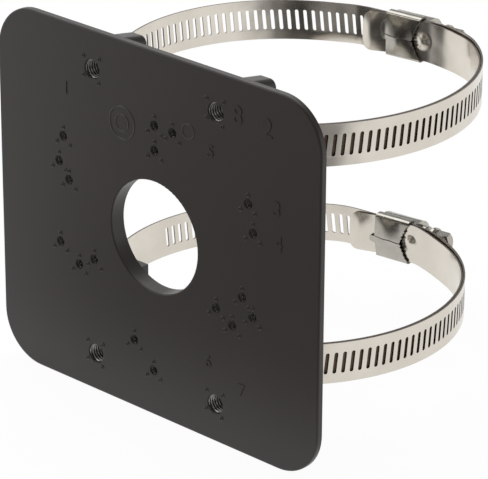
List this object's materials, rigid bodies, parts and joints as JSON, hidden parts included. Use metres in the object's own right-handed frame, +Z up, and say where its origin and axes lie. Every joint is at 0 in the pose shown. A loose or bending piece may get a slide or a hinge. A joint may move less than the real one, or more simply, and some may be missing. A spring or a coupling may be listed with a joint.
{
  "type": "camera pole mount bracket",
  "caption": "Flat cast plate with rounded corners, a cable hole and threaded holes in front, held to a pole by worm drive band clamps through slotted lugs behind.",
  "frame": {"origin": "centre of the cable hole and of the four large holes, on the front face of the plate", "axes": "+X across the plate to the right as seen from the front, +Y from the front face back to the pole, +Z up along the pole"},
  "size_m": [0.17, 0.157, 0.152],
  "materials": {
    "casting": "fine black powder coat on die-cast aluminium",
    "strip_steel": "rolled stainless strip, bright",
    "clamp_steel": "pressed stainless sheet, bright",
    "screw_steel": "machined stainless steel"
  },
  "bodies": {
    "bracket": {"mounting_plate": "casting", "upper_band": "strip_steel", "upper_saddle": "clamp_steel", "upper_housing": "clamp_steel", "lower_band": "strip_steel", "lower_saddle": "clamp_steel", "lower_housing": "clamp_steel"},
    "upper_screw": {"upper_worm_screw": "screw_steel"},
    "lower_screw": {"lower_worm_screw": "screw_steel"}
  },
  "joints": [
    {"name": "upper_screw_turn", "type": "hinge", "parent": "bracket", "child": "upper_screw", "pos_m": [0.00263, 0.14864, 0.0455], "axis": [0.9925, 0.1219, 0], "continuous": true},
    {"name": "lower_screw_turn", "type": "hinge", "parent": "bracket", "child": "lower_screw", "pos_m": [-0.00057, 0.14849, -0.0448], "axis": [0.9925, 0.1219, 0], "continuous": true}
  ]
}
